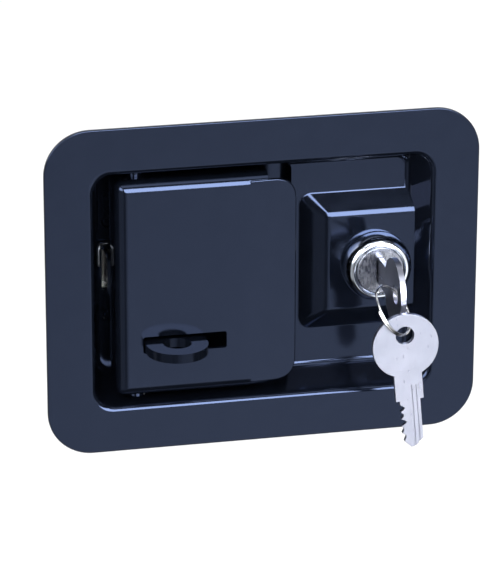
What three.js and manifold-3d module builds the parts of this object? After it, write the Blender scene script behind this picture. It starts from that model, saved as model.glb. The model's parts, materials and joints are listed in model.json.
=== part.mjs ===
// Flush paddle latch: a pressed dish with a lift-up paddle, a spring bolt behind it, a padlock eye
// through the paddle and a cam lock with two keys on a ring.
// Millimetres. X runs right, Y runs into the door and Z runs up. Y = 0 is the flange's back face.

import * as THREE from "three";
import { mergeVertices } from "three/addons/utils/BufferGeometryUtils.js";
import Module from "manifold-3d";

const wasm = await Module();
wasm.setup();

// ---- driving dimensions -------------------------------------------------------------------

const SHEET = 1.5; // thickness of the pressed steel
const GAP = 0.3; // room between pieces that rest on each other

const FLANGE = { width: 139.7, height: 107.95, corner: 14.5 };
const FRONT = -SHEET; // the flange's front face
const DATUM_Z = 48; // height of the origin, on the top border of the flange, above its middle

const DISH = {
  halfWidth: 56, // at the flange's front face
  halfHeight: 40.5,
  corner: 6.5,
  tighter: 3, // how much smaller the corners are at the floor
  lip: 1.8, // radius of the rounded mouth
  run: 3.6, // how far the walls lean in from the lip to the floor
  bend: 2, // radius between wall and floor
};
const SHELF_FLOOR = 12.5;
const WELL_FLOOR = 20.5;
const WELL_RIGHT = 12; // the deep well under the paddle ends here

const BOSS = { face: 8.5, left: 22.3, right: 62, halfHeight: 16.9, middle: 0.7, corner: 3 };

const PIVOT = { x: -40, y: 6.5, pin: 2.5, head: 4, seat: 40.4, end: 42, foot: 43.4 };
const PIN_CLIP = { low: -42.1, high: -41.3, reach: 2, mouth: 1.4 };
const PADDLE = {
  left: -47.3,
  right: 1.5,
  halfHeight: 36,
  depth: 12,
  bend: 2.2,
  lipEnd: 10.7,
  lipHalfHeight: 34,
  lipCorner: 7.5,
};
const LEG = { halfWidth: 6, tip: 24.5 }; // the paddle's tongue that draws the bolt back
const LEG_SLOT = { left: -48.2, right: -35, halfWidth: 6.8 }; // in the floor of the dish
const SLOT = { left: -39, right: -12, low: -21.3, high: -15.7 };

const EYE = { x: -28.8, y: -5.5, radius: 9.8, hole: 4.5, low: -20, high: -17, foot: 11 };

const BOLT = {
  nose: -63.5,
  back: -34,
  front: 22.7, // the nose's flat face
  shoulder: -55.5, // from here on the face is `relief` lower, clear of the dish
  relief: 0.4,
  rear: 31,
  halfWidth: 9,
  bevel: 6.5,
};
const POCKET = { left: -48.8, right: -44.6, halfWidth: 6.6, depth: 26.8 };
const TAIL = { left: -42.3, right: 3.2, halfWidth: 6, front: 22.7, rear: 24.7 };
const HOUSING = { left: -51, right: -3, inner: 9.4, top: 31.8, ear: 21 };

const LOCK = { x: 39.1, z: -0.7, bezel: 11.25, rim: 8.4, front: 2.2, barrel: 9.3, end: 21.9 };
const PLUG = { face: 7.8, front: 2.5, body: 6.4, shoulder: 4.6, square: 7.6, end: 24.6 };
const WAFER = { first: 7.5, pitch: 2.4, count: 5, thickness: 1, width: 5.2, height: 11.2 };
const CAM = { front: 22.3, thickness: 2.2, length: 24, halfWidth: 5.5 };

const KEY = {
  bow: 10.6, // radius of the round head
  hole: 3,
  holeOffset: 3.6, // from the middle of the head, away from the blade
  shank: 4.5,
  shoulder: 18.4, // from the middle of the head
  blade: 3.35,
  tip: 34.4,
  thickness: 1.8,
};
const KEY_CUTS = [1.3, 0.7, 1.7, 1.0, 1.4];
const SPARE = { x: 38.3, y: -31, z: -9.8, tilt: 5.4 }; // its hole
const RING = { radius: 8.4, wire: 0.65, roll: 136 };

const SPRING = { radius: 4.3, wire: 0.7, turns: 5, low: 10, pitch: 1.75 };
const PUSH_SPRING = { radius: 2.6, wire: 0.5, turns: 9, y: 28.2 };

// ---- materials ----------------------------------------------------------------------------

const finish = (color, roughness, metalness) =>
  new THREE.MeshStandardMaterial({ color, roughness, metalness });
const blackCoat = finish(0x14171f, 0.35, 0.1);
const zinc = finish(0xb9bcc0, 0.4, 0.9);
const chrome = finish(0xd8dadd, 0.15, 1.0);
const keyMetal = finish(0xc4c1b6, 0.3, 1.0);
const brass = finish(0xb99a52, 0.35, 1.0);
const springSteel = finish(0xa9adb2, 0.35, 1.0);

// ---- helpers ------------------------------------------------------------------------------

const X = new THREE.Vector3(1, 0, 0);
const Y = new THREE.Vector3(0, 1, 0);
const Z = new THREE.Vector3(0, 0, 1);

/** A closed three.js geometry as a solid that can be joined and cut, its faces pointing out. */
function solid(geometry) {
  geometry.deleteAttribute("normal");
  geometry.deleteAttribute("uv");
  const merged = mergeVertices(geometry, 1e-4);
  const vertProperties = new Float32Array(merged.attributes.position.array);
  const triVerts = new Uint32Array(merged.index.array);
  const make = () => new wasm.Manifold(new wasm.Mesh({ numProp: 3, vertProperties, triVerts }));
  const body = make();
  if (body.volume() > 0) {
    return body;
  }
  for (let i = 0; i < triVerts.length; i += 3) {
    [triVerts[i], triVerts[i + 1]] = [triVerts[i + 1], triVerts[i]];
  }
  return make();
}

/** A solid back as a three.js geometry. */
function geometryOf(manifold) {
  const mesh = manifold.getMesh();
  const geometry = new THREE.BufferGeometry();
  geometry.setAttribute("position", new THREE.BufferAttribute(mesh.vertProperties, 3));
  geometry.setIndex(new THREE.BufferAttribute(mesh.triVerts, 1));
  geometry.computeVertexNormals();
  return geometry;
}

function box(x0, x1, y0, y1, z0, z1) {
  const geometry = new THREE.BoxGeometry(x1 - x0, y1 - y0, z1 - z0);
  geometry.translate((x0 + x1) / 2, (y0 + y1) / 2, (z0 + z1) / 2);
  return solid(geometry);
}

/** A flat outline drawn on the axes u and v, made `length` thick along u x v from `start`. */
function prism(shape, u, v, start, length, curveSegments) {
  const w = new THREE.Vector3().crossVectors(u, v);
  const geometry = new THREE.ExtrudeGeometry(shape, {
    depth: length,
    bevelEnabled: false,
    curveSegments,
  });
  const place = new THREE.Matrix4().makeBasis(u, v, w);
  place.setPosition(w.clone().multiplyScalar(start));
  geometry.applyMatrix4(place);
  return solid(geometry);
}

const alongX = (shape, x0, x1, arcs = 5) => prism(shape, Y, Z, x0, x1 - x0, arcs);
const alongY = (shape, y0, y1, arcs = 7) => prism(shape, X, Z, -y1, y1 - y0, arcs);
const alongZ = (shape, z0, z1, arcs = 7) => prism(shape, X, Y, z0, z1 - z0, arcs);

function circle(radius, x = 0, y = 0) {
  const shape = new THREE.Shape();
  shape.absarc(x, y, radius, 0, Math.PI * 2);
  return shape;
}

function outline(points) {
  return new THREE.Shape(points.map(([x, y]) => new THREE.Vector2(x, y)));
}

/** A rectangle with its four corners rounded. */
function roundedRectangle(x0, x1, y0, y1, radius) {
  const shape = new THREE.Shape();
  shape.absarc(x1 - radius, y1 - radius, radius, 0, Math.PI / 2);
  shape.absarc(x0 + radius, y1 - radius, radius, Math.PI / 2, Math.PI);
  shape.absarc(x0 + radius, y0 + radius, radius, Math.PI, Math.PI * 1.5);
  shape.absarc(x1 - radius, y0 + radius, radius, Math.PI * 1.5, Math.PI * 2);
  shape.closePath();
  return shape;
}

/** A profile of [radius, y] points turned about the Y axis; it starts and ends on the axis. */
function turned(profile, segments = 32) {
  const points = profile.map(([radius, y]) => new THREE.Vector2(radius, y));
  return solid(new THREE.LatheGeometry(points, segments));
}

/** A round wire along a curve. */
function wire(curve, radius, steps, sides) {
  const section = outline(
    Array.from({ length: sides }, (_, i) => {
      const angle = (i / sides) * Math.PI * 2;
      return [radius * Math.cos(angle), radius * Math.sin(angle)];
    }),
  );
  const options = { steps, extrudePath: curve, bevelEnabled: false };
  return solid(new THREE.ExtrudeGeometry(section, options));
}

/** Rounded rectangles of different sizes, skinned one after the other along Y. */
function loft(rings) {
  const arcSteps = 5;
  const positions = [];
  for (const { y, x0, x1, z0, z1, r } of rings) {
    const corners = [
      [x1 - r, z1 - r, 0],
      [x0 + r, z1 - r, 1],
      [x0 + r, z0 + r, 2],
      [x1 - r, z0 + r, 3],
    ];
    for (const [cx, cz, quarter] of corners) {
      for (let step = 0; step <= arcSteps; step += 1) {
        const angle = ((quarter + step / arcSteps) * Math.PI) / 2;
        positions.push(cx + r * Math.cos(angle), y, cz + r * Math.sin(angle));
      }
    }
  }
  const count = (arcSteps + 1) * 4;
  const index = [];
  for (let ring = 0; ring < rings.length - 1; ring += 1) {
    for (let i = 0; i < count; i += 1) {
      const a = ring * count + i;
      const b = ring * count + ((i + 1) % count);
      index.push(a, b, a + count, b, b + count, a + count);
    }
  }
  const last = (rings.length - 1) * count;
  for (let i = 1; i < count - 1; i += 1) {
    index.push(0, i + 1, i);
    index.push(last, last + i, last + i + 1);
  }
  const geometry = new THREE.BufferGeometry();
  geometry.setAttribute("position", new THREE.Float32BufferAttribute(positions, 3));
  geometry.setIndex(index);
  return solid(geometry);
}

const latch = new THREE.Group();
latch.position.z = -DATUM_Z;

function add(name, manifold, material, matrix = null) {
  const mesh = new THREE.Mesh(geometryOf(manifold), material);
  mesh.name = name;
  if (matrix) {
    mesh.applyMatrix4(matrix);
  }
  latch.add(mesh);
}

/** A domed rivet along Y, its dome on the side that `domeSide` points to. */
function rivet(x, z, from, to, radius, domeSide) {
  const domeBase = domeSide > 0 ? to : from;
  const head = [0, 0.35, 0.7, 1].map((t) => [
    radius * 1.9 * Math.cos((t * Math.PI) / 2),
    domeBase + domeSide * radius * 0.9 * Math.sin((t * Math.PI) / 2),
  ]);
  const profile = [
    [0, domeSide > 0 ? from : to],
    [radius, domeSide > 0 ? from : to],
    [radius, domeBase],
    ...head,
  ];
  profile[profile.length - 1][0] = 0;
  return turned(domeSide > 0 ? profile : profile.reverse(), 16).translate([x, 0, z]);
}

// ---- pan ----------------------------------------------------------------------------------

/** Half sizes of the dish's inside at depth y, for walls that reach `floor`. */
function wallInset(y, floor) {
  const start = FRONT + DISH.lip;
  return DISH.lip + (DISH.run * (y - start)) / (floor - start);
}

/** The dish from mouth to floor: its inside with offset 0, or its outside with the sheet's. */
function dish(floor, right, offset) {
  const rings = [];
  const ring = (y, inset) =>
    rings.push({
      y,
      x0: -DISH.halfWidth + inset - offset,
      x1: (right === null ? DISH.halfWidth - inset : right) + offset,
      z0: -DISH.halfHeight + inset - offset,
      z1: DISH.halfHeight - inset + offset,
      r: DISH.corner + offset - DISH.tighter * ((y - FRONT) / (floor - FRONT)),
    });
  if (offset === 0) {
    ring(FRONT - 1, 0);
    for (let step = 0; step < 5; step += 1) {
      const angle = (step / 5) * (Math.PI / 2);
      ring(FRONT + DISH.lip * (1 - Math.cos(angle)), DISH.lip * Math.sin(angle));
    }
  } else {
    ring(FRONT + SHEET / 2, DISH.lip);
  }
  ring(FRONT + DISH.lip, DISH.lip);
  const bottom = floor + offset;
  const bend = DISH.bend + offset;
  for (const turn of [0, 30, 60, 90]) {
    const angle = THREE.MathUtils.degToRad(turn);
    const y = bottom - bend * (1 - Math.sin(angle));
    ring(y, wallInset(Math.min(y, floor), floor) + bend * (1 - Math.cos(angle)) * 0.8);
  }
  return loft(rings);
}

/** The raised lock boss, or the hollow behind it when `offset` is the sheet's thickness. */
function boss(offset) {
  const { face, left, right, halfHeight, middle, corner } = BOSS;
  const foot = SHELF_FLOOR + offset;
  // depth, how far the left side leans out, and how far the upper and lower sides do
  const rings = [
    [face + offset, -0.7, -0.7],
    [face + offset + 0.35, 0, 0],
    [foot - 0.5, 6.2, 4.8],
    [foot + 2.5, 11.5, 8.8],
  ];
  const half = halfHeight - offset * 0.7;
  return loft(
    rings.map(([y, aside, upward]) => ({
      y,
      x0: left + offset * 0.7 - aside,
      x1: right,
      z0: middle - half - upward,
      z1: middle + half + upward,
      r: corner,
    })),
  );
}

function pan() {
  const { width, height, corner } = FLANGE;
  const plate = roundedRectangle(-width / 2, width / 2, -height / 2, height / 2, corner);
  const hollow = BOSS.halfHeight - 1;
  const behind = BOSS.face + SHEET;
  const rearCut = box(BOSS.left, BOSS.right, behind, 40, -hollow, hollow).translate([0, 0, BOSS.middle]);
  const inside = dish(SHELF_FLOOR, null, 0).add(dish(WELL_FLOOR, WELL_RIGHT, 0)).subtract(boss(0));
  let body = alongY(plate, FRONT, 0, 9)
    .add(dish(SHELF_FLOOR, null, SHEET))
    .add(dish(WELL_FLOOR, WELL_RIGHT, SHEET))
    .subtract(boss(SHEET))
    .subtract(rearCut)
    .subtract(inside);
  const lockHole = circle(LOCK.barrel + 0.4, LOCK.x, LOCK.z);
  body = body.subtract(alongY(lockHole, BOSS.face - 2, BOSS.face + 4, 14));
  body = body.subtract(alongZ(circle(PIVOT.pin + GAP, PIVOT.x, PIVOT.y), -46, 46));
  const { left, right, halfWidth } = LEG_SLOT;
  const slotted = box(left, right, WELL_FLOOR - 2, WELL_FLOOR + 4, -halfWidth, halfWidth);
  body = body.subtract(slotted);
  for (const [x, z] of [...housingRivets, ...eyeRivets]) {
    body = body.subtract(alongY(circle(RIVET + GAP, x, z), WELL_FLOOR - 2, WELL_FLOOR + 4));
  }
  return body;
}

const RIVET = 1.7;
const housingRivets = [
  [-46, -16],
  [-46, 16],
  [-8, -16],
  [-8, 16],
];
const eyeRivets = [
  [-33.3, -26],
  [-24.3, -26],
];

add("pan", pan(), blackCoat);

// ---- paddle -------------------------------------------------------------------------------

/** Section of the paddle across X: a channel with rounded bends, open to the rear. */
function paddleChannel() {
  const { halfHeight, depth, bend } = PADDLE;
  const inner = bend - SHEET;
  const front = FRONT;
  const rear = FRONT + depth;
  const shape = new THREE.Shape();
  shape.moveTo(rear, -halfHeight);
  shape.lineTo(rear, -halfHeight + SHEET);
  shape.lineTo(front + bend, -halfHeight + SHEET);
  shape.absarc(front + bend, -halfHeight + bend, inner, -Math.PI / 2, -Math.PI, true);
  shape.lineTo(front + SHEET, halfHeight - bend);
  shape.absarc(front + bend, halfHeight - bend, inner, Math.PI, Math.PI / 2, true);
  shape.lineTo(rear, halfHeight - SHEET);
  shape.lineTo(rear, halfHeight);
  shape.lineTo(front + bend, halfHeight);
  shape.absarc(front + bend, halfHeight - bend, bend, Math.PI / 2, Math.PI);
  shape.lineTo(front, -halfHeight + bend);
  shape.absarc(front + bend, -halfHeight + bend, bend, Math.PI, Math.PI * 1.5);
  return shape;
}

/** Section of the paddle's left edge across Z. */
function paddleEdge() {
  const { left, bend, depth } = PADDLE;
  const shape = new THREE.Shape();
  shape.moveTo(left, FRONT + depth);
  shape.lineTo(left, FRONT + bend);
  shape.absarc(left + bend, FRONT + bend, bend, Math.PI, Math.PI * 1.5);
  shape.lineTo(left + bend + 2, FRONT);
  shape.lineTo(left + bend + 2, FRONT + SHEET);
  shape.lineTo(left + bend, FRONT + SHEET);
  shape.absarc(left + bend, FRONT + bend, bend - SHEET, Math.PI * 1.5, Math.PI, true);
  shape.lineTo(left + SHEET, FRONT + depth);
  return shape;
}

function paddle() {
  const { left, right, halfHeight, bend, lipEnd, lipHalfHeight, lipCorner } = PADDLE;
  const lip = roundedRectangle(right - 12, lipEnd, -lipHalfHeight, lipHalfHeight, lipCorner);
  let body = alongX(paddleChannel(), left + bend, right);
  body = body.add(alongZ(paddleEdge(), -halfHeight + bend, halfHeight - bend));
  body = body.add(alongY(lip, FRONT, FRONT + SHEET));
  body = body.add(box(left, left + SHEET, FRONT + 4, LEG.tip, -LEG.halfWidth, LEG.halfWidth));
  body = body.subtract(box(SLOT.left, SLOT.right, FRONT - 1, FRONT + 3, SLOT.low, SLOT.high));
  body = body.subtract(alongZ(circle(PIVOT.pin + 0.1, PIVOT.x, PIVOT.y), -40, 40));
  return body;
}

add("paddle", paddle(), blackCoat);

// ---- pivot pin and its clip ---------------------------------------------------------------

function pivotPin() {
  const { x, y, pin, seat, end, foot } = PIVOT;
  const { low, high } = PIN_CLIP;
  const head = alongZ(circle(PIVOT.head, x, y), seat, end);
  const groove = alongZ(circle(pin + 1, x, y), low - 0.2, high + 0.2);
  const core = alongZ(circle(pin - 0.7, x, y), low - 0.3, high + 0.3);
  return alongZ(circle(pin, x, y), -foot, seat + 0.6).add(head).subtract(groove).add(core);
}

function pinClip() {
  const { x, y, pin } = PIVOT;
  const { low, high, reach, mouth } = PIN_CLIP;
  const clip = alongZ(circle(pin + reach, x, y), low, high);
  const seat = alongZ(circle(pin - 0.45, x, y), low - 1, high + 1);
  return clip.subtract(seat).subtract(box(x - mouth, x + mouth, y - 6, y, low - 1, high + 1));
}

add("pivot_pin", pivotPin(), blackCoat);
add("pivot_pin_clip", pinClip(), springSteel);

// ---- paddle spring ------------------------------------------------------------------------

/** The torsion spring's wire: a leg under the paddle, the coil, and a hooked leg on the floor. */
class TorsionSpringPath extends THREE.Curve {
  constructor() {
    super();
    const { radius, turns, low, pitch } = SPRING;
    const points = [];
    const top = low + turns * pitch;
    points.push([PIVOT.x + 15, FRONT + SHEET + 1.2, top], [PIVOT.x + 8, PIVOT.y - radius + 0.7, top]);
    const perTurn = 10;
    for (let step = 0; step <= turns * perTurn + perTurn / 2 + 1; step += 1) {
      const angle = -Math.PI / 2 - (step / perTurn) * Math.PI * 2;
      const drop = (Math.min(step, turns * perTurn) / perTurn) * pitch;
      const x = PIVOT.x + radius * Math.cos(angle);
      const y = PIVOT.y + radius * Math.sin(angle);
      points.push([x, y, top - drop]);
    }
    const floor = WELL_FLOOR - SPRING.wire - GAP;
    points.push([PIVOT.x + 4.6, 15, low - 0.6], [PIVOT.x + 3.6, floor - 0.6, low - 0.8]);
    points.push([PIVOT.x + 1.4, floor, low - 0.9], [PIVOT.x - 7.4, floor, low - 1]);
    points.push([PIVOT.x - 9.2, floor - 1.2, low - 1.6], [PIVOT.x - 9.5, floor - 1.4, low - 3.5]);
    points.push([PIVOT.x - 9.5, floor - 1.4, low - 7.5]);
    const vectors = points.map(([x, y, z]) => new THREE.Vector3(x, y, z));
    this.inner = new THREE.CatmullRomCurve3(vectors, false, "centripetal");
  }

  getPoint(t, target = new THREE.Vector3()) {
    return this.inner.getPoint(t, target);
  }
}

add("paddle_spring", wire(new TorsionSpringPath(), SPRING.wire, 104, 6), springSteel);

// ---- padlock eye --------------------------------------------------------------------------

function padlockEye() {
  const { x, y, radius, hole, low, high, foot } = EYE;
  const rear = WELL_FLOOR - GAP;
  const stem = 2;
  const pinSide = PIVOT.x + PIVOT.pin + 0.8;
  const plate = new THREE.Shape();
  plate.moveTo(x + radius, rear);
  plate.lineTo(x + radius, y);
  plate.absarc(x, y, radius, 0, Math.PI, true);
  plate.lineTo(x - radius, stem - 2);
  plate.lineTo(pinSide, stem);
  plate.lineTo(pinSide, rear);
  plate.closePath();
  plate.holes.push(circle(hole, x, y));
  const flat = roundedRectangle(pinSide, x + radius, low - foot, high, 2.5);
  return alongZ(plate, low, high, 12).add(alongY(flat, rear - 3, rear, 3));
}

let eye = padlockEye();
for (const [x, z] of eyeRivets) {
  eye = eye.subtract(alongY(circle(RIVET + GAP, x, z), 10, 30));
}
add("padlock_eye", eye, blackCoat);
eyeRivets.forEach(([x, z], i) => {
  const head = WELL_FLOOR - GAP - 3 - GAP;
  add(`eye_rivet_${i + 1}`, rivet(x, z, head, WELL_FLOOR + SHEET, RIVET, -1), blackCoat);
});

// ---- bolt, tail, housing and push spring --------------------------------------------------

function bolt() {
  const { nose, back, front, shoulder, relief, rear, halfWidth, bevel } = BOLT;
  const side = outline([
    [nose, front],
    [shoulder, front],
    [shoulder, front + relief],
    [back, front + relief],
    [back, rear],
    [nose + bevel, rear],
    [nose, front + 2.5],
  ]);
  let body = alongZ(side, -halfWidth, halfWidth);
  const { left, right, depth } = POCKET;
  body = body.subtract(box(left, right, front - 1, depth, -POCKET.halfWidth, POCKET.halfWidth));
  const room = TAIL.halfWidth + GAP;
  body = body.subtract(box(TAIL.left - GAP, back + 1, front - 1, TAIL.rear + GAP, -room, room));
  for (const [x, z] of tailRivets) {
    body = body.subtract(alongY(circle(1.5 + GAP, x, z), front, rear + 1));
  }
  return body;
}

const tailRivets = [
  [-38.2, -3.2],
  [-38.2, 3.2],
];

function boltTail() {
  const { left, right, halfWidth, front, rear } = TAIL;
  let body = alongY(roundedRectangle(left, right, -halfWidth, halfWidth, 1.5), front, rear, 3);
  for (const [x, z] of tailRivets) {
    body = body.subtract(alongY(circle(1.5 + GAP, x, z), front - 1, rear + 1));
  }
  return body;
}

/** Section of the bolt housing across X: a hat whose two ears lie on the pan. */
function housingSection() {
  const { inner, top, ear } = HOUSING;
  const foot = WELL_FLOOR + SHEET + GAP;
  const outer = inner + SHEET;
  return outline([
    [foot, -ear],
    [foot, -inner],
    [top, -inner],
    [top, inner],
    [foot, inner],
    [foot, ear],
    [foot + SHEET, ear],
    [foot + SHEET, outer],
    [top + SHEET, outer],
    [top + SHEET, -outer],
    [foot + SHEET, -outer],
    [foot + SHEET, -ear],
  ]);
}

function boltHousing() {
  const { left, right, inner, top } = HOUSING;
  let body = alongX(housingSection(), left, right);
  body = body.add(box(right - SHEET, right, TAIL.rear + 0.8, top + 1, -inner - 0.5, inner + 0.5));
  for (const [x, z] of housingRivets) {
    body = body.subtract(alongY(circle(RIVET + GAP, x, z), 15, 30));
  }
  return body;
}

class Helix extends THREE.Curve {
  constructor(start, length, radius, turns) {
    super();
    Object.assign(this, { start, length, radius, turns });
  }

  getPoint(t, target = new THREE.Vector3()) {
    const angle = t * this.turns * Math.PI * 2;
    const y = this.start.y + this.radius * Math.cos(angle);
    const z = this.start.z + this.radius * Math.sin(angle);
    return target.set(this.start.x + t * this.length, y, z);
  }
}

function pushSpring() {
  const { radius, wire: gauge, turns, y } = PUSH_SPRING;
  const start = new THREE.Vector3(BOLT.back + gauge + GAP, y, 0);
  const length = HOUSING.right - SHEET - gauge - GAP - start.x;
  return wire(new Helix(start, length, radius, turns), gauge, turns * 9, 6);
}

add("bolt", bolt(), zinc);
add("bolt_tail", boltTail(), zinc);
tailRivets.forEach(([x, z], i) => {
  const body = alongY(circle(1.5, x, z), BOLT.front + 0.05, BOLT.rear);
  add(`tail_rivet_${i + 1}`, body, zinc);
});
add("bolt_housing", boltHousing(), zinc);
housingRivets.forEach(([x, z], i) => {
  const ear = WELL_FLOOR + SHEET + GAP + SHEET + GAP;
  add(`housing_rivet_${i + 1}`, rivet(x, z, WELL_FLOOR, ear, RIVET, 1), blackCoat);
});
add("bolt_spring", pushSpring(), springSteel);

// ---- lock ---------------------------------------------------------------------------------

function lockBody() {
  const { x, z, bezel, rim, front, barrel, end } = LOCK;
  const seat = BOSS.face - GAP;
  const dome = [0, 0.25, 0.5, 0.75, 1].map((t) => [
    rim + (bezel - rim) * Math.sin((t * Math.PI) / 2),
    seat - 0.6 - (seat - 0.6 - front) * Math.cos((t * Math.PI) / 2),
  ]);
  const body = turned([
    [0, front],
    ...dome,
    [bezel, seat],
    [barrel, seat],
    [barrel, end],
    [0, end],
  ]);
  const recess = turned([
    [0, front - 1],
    [PLUG.face + GAP, front - 1],
    [PLUG.face + GAP, PLUG.shoulder + GAP],
    [PLUG.body + GAP, PLUG.shoulder + GAP],
    [PLUG.body + GAP, end + 1],
    [0, end + 1],
  ]);
  return body.subtract(recess).translate([x, 0, z]);
}

function lockNut() {
  const { x, z, barrel } = LOCK;
  const across = 24;
  const corners = Array.from({ length: 6 }, (_, i) => {
    const angle = (i / 6) * Math.PI * 2;
    const reach = across / 2 / Math.cos(Math.PI / 6);
    return [x + reach * Math.cos(angle), z + reach * Math.sin(angle)];
  });
  const front = BOSS.face + SHEET + GAP;
  return alongY(outline(corners), front, front + 4).subtract(
    alongY(circle(barrel + GAP, x, z), front - 1, front + 5, 14),
  );
}

function lockPlug() {
  const { x, z } = LOCK;
  const { face, front, body, shoulder, square, end } = PLUG;
  const half = square / 2;
  const keyway = KEY.thickness / 2 + 0.35;
  let plug = turned([
    [0, front],
    [face - 0.4, front],
    [face, front + 0.4],
    [face, shoulder],
    [body, shoulder],
    [body, LOCK.end],
    [0, LOCK.end],
  ]);
  plug = plug.add(box(-half, half, LOCK.end - 1, end, -half, half));
  plug = plug.subtract(box(-keyway, keyway, 0, 18.9, -KEY.blade - 0.35, KEY.blade + 0.35));
  const slotWidth = WAFER.width / 2 + GAP;
  for (let i = 0; i < WAFER.count; i += 1) {
    const y = WAFER.first + i * WAFER.pitch;
    const reach = WAFER.thickness / 2 + GAP;
    plug = plug.subtract(box(-slotWidth, slotWidth, y - reach, y + reach, -8, 8));
  }
  plug = plug.subtract(alongY(circle(CAM_SCREW + GAP), 21.4, end + 1));
  return plug.translate([x, 0, z]);
}

const CAM_SCREW = 1.9;

function wafer(index) {
  const y = WAFER.first + index * WAFER.pitch;
  const half = WAFER.width / 2;
  const tall = WAFER.height / 2;
  const reach = WAFER.thickness / 2;
  const plate = box(-half, half, y - reach, y + reach, -tall, tall);
  const slot = KEY.thickness / 2 + 0.45;
  const window = box(-slot, slot, y - 1, y + 1, -KEY.blade - 0.45, KEY.blade + 0.45);
  return plate.subtract(window).translate([LOCK.x, 0, LOCK.z]);
}

function lockCam() {
  const { front, thickness, length, halfWidth } = CAM;
  const half = PLUG.square / 2 + GAP;
  const arm = roundedRectangle(-length, 8, -halfWidth, halfWidth, 4);
  const hub = alongY(circle(8), front, front + thickness);
  const blank = alongY(arm, front, front + thickness).add(hub);
  return blank.subtract(box(-half, half, 20, 30, -half, half)).translate([LOCK.x, 0, LOCK.z]);
}

function camScrew() {
  const head = PLUG.end + GAP;
  const screw = turned(
    [
      [0, 21.8],
      [CAM_SCREW, 21.8],
      [CAM_SCREW, head],
      [5.2, head],
      [5.2, head + 1.6],
      [4.2, head + 2.4],
      [0, head + 2.4],
    ],
    24,
  );
  const slot = box(-0.6, 0.6, head + 1.2, head + 4, -6, 6);
  return screw.subtract(slot).translate([LOCK.x, 0, LOCK.z]);
}

add("lock_body", lockBody(), chrome);
add("lock_nut", lockNut(), zinc);
add("lock_plug", lockPlug(), chrome);
for (let i = 0; i < WAFER.count; i += 1) {
  add(`wafer_${i + 1}`, wafer(i), brass);
}
add("lock_cam", lockCam(), zinc);
add("cam_screw", camScrew(), zinc);

// ---- keys and ring ------------------------------------------------------------------------

/** A key lying flat: its length runs along X from the middle of the head, cuts on its +Y edge. */
function key() {
  const { bow, hole, holeOffset, shank, shoulder, blade, tip, thickness } = KEY;
  const open = Math.asin(shank / bow);
  const shape = new THREE.Shape();
  shape.moveTo(bow * Math.cos(open), shank);
  shape.absarc(0, 0, bow, open, Math.PI * 2 - open);
  shape.lineTo(shoulder, -shank);
  shape.lineTo(shoulder, -blade);
  shape.lineTo(tip - 2.6, -blade);
  shape.lineTo(tip, -0.7);
  shape.lineTo(tip, 0.7);
  shape.lineTo(tip - 2.2, blade - 0.6);
  const spacing = 2.4;
  KEY_CUTS.forEach((cut, i) => {
    const x = tip - 3.6 - i * spacing;
    shape.lineTo(x, blade - cut);
    shape.lineTo(x - 0.6, blade - cut);
    shape.lineTo(x - spacing / 2 - 0.3, blade - 0.1);
  });
  shape.lineTo(shoulder, blade);
  shape.lineTo(shoulder, shank);
  shape.closePath();
  shape.holes.push(circle(hole, -holeOffset, 0));
  const groove = box(shoulder - 6, tip + 1, -1.6, -0.3, thickness / 2 - 0.45, thickness);
  return alongZ(shape, -thickness / 2, thickness / 2, 14).subtract(groove);
}

const insertedPlace = new THREE.Matrix4().makeBasis(Y, Z.clone().negate(), X.clone().negate());
insertedPlace.setPosition(LOCK.x, PLUG.front - GAP - KEY.shoulder, LOCK.z);
add("key", key(), keyMetal, insertedPlace);

const tilt = THREE.MathUtils.degToRad(SPARE.tilt);
const down = new THREE.Vector3(Math.sin(tilt), 0, -Math.cos(tilt));
const across = new THREE.Vector3(-Math.cos(tilt), 0, -Math.sin(tilt));
const sparePlace = new THREE.Matrix4().makeBasis(down, across, Y);
const spareHole = new THREE.Vector3(SPARE.x, SPARE.y, SPARE.z);
sparePlace.setPosition(spareHole.clone().addScaledVector(down, KEY.holeOffset));
add("spare_key", key(), keyMetal, sparePlace);

/** The ring is threaded through both key holes, so its plane holds the line between them. */
function keyRing() {
  const keyHole = new THREE.Vector3(LOCK.x, PLUG.front - GAP - KEY.shoulder - KEY.holeOffset, LOCK.z);
  const chord = spareHole.clone().sub(keyHole);
  const half = chord.length() / 2;
  const along = chord.clone().normalize();
  const level = X.clone().addScaledVector(along, -X.dot(along)).normalize();
  const upright = new THREE.Vector3().crossVectors(along, level);
  const roll = THREE.MathUtils.degToRad(RING.roll);
  const aside = level.multiplyScalar(Math.cos(roll)).addScaledVector(upright, Math.sin(roll));
  const normal = new THREE.Vector3().crossVectors(along, aside);
  const centre = keyHole.clone().add(spareHole).multiplyScalar(0.5);
  centre.addScaledVector(aside, Math.sqrt(RING.radius ** 2 - half ** 2));
  const place = new THREE.Matrix4().makeBasis(along, aside, normal);
  place.setPosition(centre);
  return { body: solid(new THREE.TorusGeometry(RING.radius, RING.wire, 8, 36)), place };
}

const ring = keyRing();
add("key_ring", ring.body, springSteel, ring.place);

export default latch;
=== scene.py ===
import json
import math

import bmesh
import bpy
import numpy as np
from mathutils import Matrix, Vector


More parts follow.
